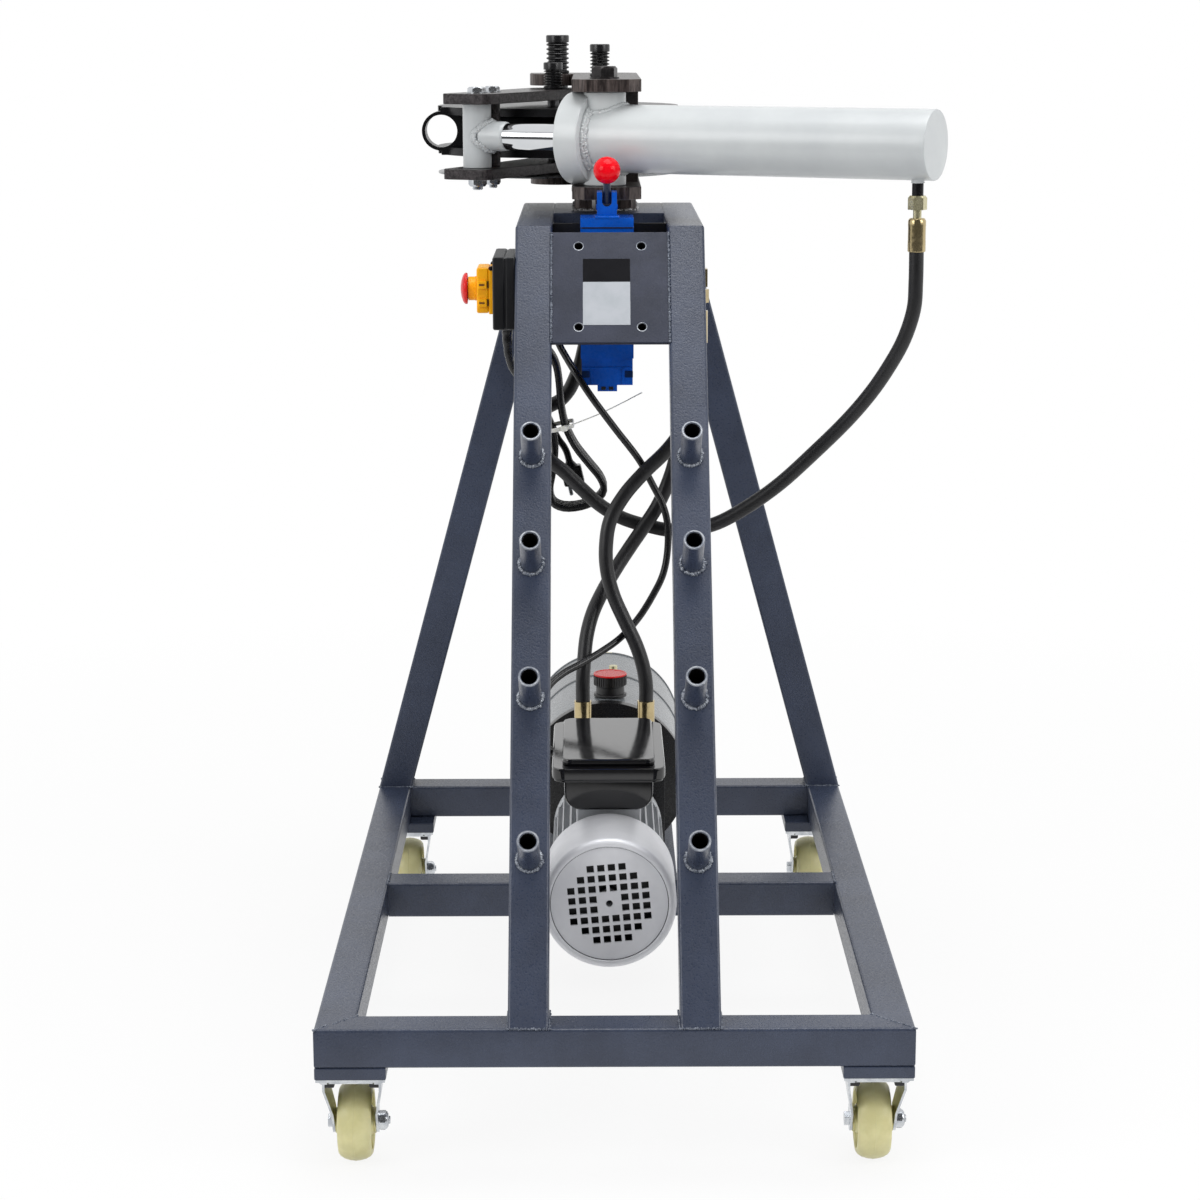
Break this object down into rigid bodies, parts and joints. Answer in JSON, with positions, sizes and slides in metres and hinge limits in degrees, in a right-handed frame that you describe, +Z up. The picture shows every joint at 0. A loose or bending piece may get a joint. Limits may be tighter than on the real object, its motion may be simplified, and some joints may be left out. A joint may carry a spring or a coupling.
{
  "type": "hydraulic pipe bender",
  "caption": "Wheeled A-frame hydraulic pipe bender: level ram, linked swing arms, grooved die with pipe hook, electric pump unit, lever valve, hoses and cord hank.",
  "frame": {"origin": "on the floor, under the middle of the wheeled base's outline", "axes": "+X to the right seen from the front, +Y from the front to the back, +Z up"},
  "size_m": [0.6582, 1.046, 1.097],
  "materials": {
    "frame_paint": "hammered powder coat",
    "zinc": "bright zinc plate",
    "wheel_nylon": "smooth",
    "head_black": "black oxide, worn",
    "grip_black": "ribbed",
    "die_black": "black oxide",
    "ram_paint": "gloss",
    "chrome": "polished",
    "spring_steel": "oiled",
    "yellow_zinc": "yellow zinc plate",
    "hose_rubber": "satin",
    "cord_black": "satin",
    "valve_blue": "gloss",
    "lever_navy": "satin",
    "knob_red": "gloss",
    "switch_black": "matte",
    "switch_yellow": "satin",
    "button_red": "satin",
    "motor_silver": "cast, painted silver",
    "cowl_silver": "matte",
    "shaft_steel": "ground",
    "fan_black": "matte",
    "terminal_black": "gloss",
    "pump_black": "satin",
    "tank_grey": "gloss",
    "cap_black": "knurled"
  },
  "bodies": {
    "root": {"base_frame": "frame_paint", "caster_plates": "zinc", "front_posts": "frame_paint", "storage_pegs": "frame_paint", "rear_legs": "frame_paint", "deck_frame": "frame_paint", "front_panel": "frame_paint", "head_spacers": "head_black", "lower_plate": "head_black", "upper_plate": "head_black", "angle_disc": "zinc", "trunnion_bolts": "head_black", "hose_fittings": "yellow_zinc", "cylinder_hose": "hose_rubber", "pressure_hose": "hose_rubber", "return_hose": "hose_rubber", "motor_cable": "cord_black", "power_cord_lead": "cord_black", "power_cord_hank": "cord_black", "power_plug": "cord_black", "valve_body": "valve_blue", "switch_box": "switch_black", "motor_body": "motor_silver", "motor_cowl": "cowl_silver", "terminal_box": "terminal_black", "pump_block": "pump_black", "oil_tank": "tank_grey"},
    "arm": {"swing_arms": "head_black", "arm_spacer": "head_black", "arm_bolts": "zinc"},
    "die": {"bending_die": "die_black", "die_hook": "die_black"},
    "cylinder": {"cylinder_tube": "ram_paint", "cylinder_end_cap": "ram_paint", "cylinder_collar": "ram_paint", "gland_bush": "yellow_zinc", "return_spring": "spring_steel", "cylinder_fitting": "yellow_zinc"},
    "rod": {"piston_rod": "chrome", "rod_end": "ram_paint", "piston": "zinc"},
    "main_pin": {"main_pin": "grip_black"},
    "drive_pin": {"drive_pin": "grip_black"},
    "stop_pin": {"stop_pin": "grip_black"},
    "lever": {"valve_lever": "lever_navy", "lever_knob": "knob_red"},
    "spool": {"valve_spool": "shaft_steel"},
    "switch_cover": {"switch_cover": "switch_yellow"},
    "stop_button": {"stop_button": "button_red"},
    "rotor": {"rotor_shaft": "shaft_steel", "cooling_fan": "fan_black"},
    "filler_cap": {"filler_cap": "cap_black"},
    "fork_front_left": {"fork_front_left": "zinc"},
    "wheel_front_left": {"wheel_front_left": "wheel_nylon"},
    "fork_front_right": {"fork_front_right": "zinc"},
    "wheel_front_right": {"wheel_front_right": "wheel_nylon"},
    "fork_rear_left": {"fork_rear_left": "zinc"},
    "wheel_rear_left": {"wheel_rear_left": "wheel_nylon"},
    "fork_rear_right": {"fork_rear_right": "zinc"},
    "wheel_rear_right": {"wheel_rear_right": "wheel_nylon"}
  },
  "joints": [
    {"name": "arm_swing", "type": "hinge", "parent": "root", "child": "arm", "pos_m": [-0.061, 0.449, 0.9845], "axis": [0, 0, 1], "range_deg": [-40, 0]},
    {"name": "die_turn", "type": "hinge", "parent": "root", "child": "die", "pos_m": [-0.061, 0.449, 0.9845], "axis": [0, 0, 1], "range_deg": [-40, 0]},
    {"name": "cylinder_swing", "type": "hinge", "parent": "root", "child": "cylinder", "pos_m": [-0.005, 0.174, 0.9845], "axis": [0, 0, 1], "range_deg": [-7.6, 0], "deforming": ["cylinder_hose"]},
    {"name": "rod_slide", "type": "slide", "parent": "cylinder", "child": "rod", "axis": [-0.8915, 0.453, 0], "range_m": [0, 0.151], "deforming": ["return_spring"]},
    {"name": "main_pin_lift", "type": "slide", "parent": "root", "child": "main_pin", "axis": [0, 0, 1], "range_m": [0, 0.1]},
    {"name": "stop_pin_lift", "type": "slide", "parent": "root", "child": "stop_pin", "axis": [0, 0, 1], "range_m": [0, 0.1]},
    {"name": "drive_pin_lift", "type": "slide", "parent": "arm", "child": "drive_pin", "axis": [0, 0, 1], "range_m": [0, 0.04]},
    {"name": "lever_tilt", "type": "hinge", "parent": "root", "child": "lever", "pos_m": [-0.003, 0.108, 0.912], "axis": [1, 0, 0], "range_deg": [-14, 18]},
    {"name": "spool_slide", "type": "slide", "parent": "root", "child": "spool", "axis": [0, 0, 1], "range_m": [-0.0029, 0.0037], "stiffness_N_per_m": 20000},
    {"name": "switch_cover_flip", "type": "hinge", "parent": "root", "child": "switch_cover", "pos_m": [-0.1318, 0.11, 0.847], "axis": [0, 1, 0], "range_deg": [0, 85]},
    {"name": "stop_button_press", "type": "slide", "parent": "switch_cover", "child": "stop_button", "axis": [1, 0, 0], "range_m": [0, 0.004], "stiffness_N_per_m": 800},
    {"name": "rotor_spin", "type": "hinge", "parent": "root", "child": "rotor", "pos_m": [-0.004, -0.1, 0.2385], "axis": [0, 1, 0], "continuous": true},
    {"name": "filler_cap_turn", "type": "hinge", "parent": "root", "child": "filler_cap", "pos_m": [0, 0.155, 0.35], "axis": [0, 0, 1], "range_deg": [0, 270]},
    {"name": "swivel_front_left", "type": "hinge", "parent": "root", "child": "fork_front_left", "pos_m": [-0.258, -0.415, 0.098], "axis": [0, 0, 1], "continuous": true},
    {"name": "roll_front_left", "type": "hinge", "parent": "fork_front_left", "child": "wheel_front_left", "pos_m": [-0.258, -0.39, 0.04], "axis": [1, 0, 0], "continuous": true},
    {"name": "swivel_front_right", "type": "hinge", "parent": "root", "child": "fork_front_right", "pos_m": [0.258, -0.415, 0.098], "axis": [0, 0, 1], "continuous": true},
    {"name": "roll_front_right", "type": "hinge", "parent": "fork_front_right", "child": "wheel_front_right", "pos_m": [0.258, -0.39, 0.04], "axis": [1, 0, 0], "continuous": true},
    {"name": "swivel_rear_left", "type": "hinge", "parent": "root", "child": "fork_rear_left", "pos_m": [-0.258, 0.415, 0.098], "axis": [0, 0, 1], "continuous": true},
    {"name": "roll_rear_left", "type": "hinge", "parent": "fork_rear_left", "child": "wheel_rear_left", "pos_m": [-0.258, 0.44, 0.04], "axis": [1, 0, 0], "continuous": true},
    {"name": "swivel_rear_right", "type": "hinge", "parent": "root", "child": "fork_rear_right", "pos_m": [0.258, 0.415, 0.098], "axis": [0, 0, 1], "continuous": true},
    {"name": "roll_rear_right", "type": "hinge", "parent": "fork_rear_right", "child": "wheel_rear_right", "pos_m": [0.258, 0.44, 0.04], "axis": [1, 0, 0], "continuous": true}
  ],
  "couplings": [
    {"joint": "die_turn", "follows": "arm_swing", "ratio": 1},
    {"joint": "cylinder_swing", "follows": "arm_swing", "ratio": 0.1835},
    {"joint": "rod_slide", "follows": "arm_swing", "m_per_rad": -0.2131},
    {"joint": "lever_tilt", "follows": "spool_slide", "rad_per_m": 83.333}
  ]
}
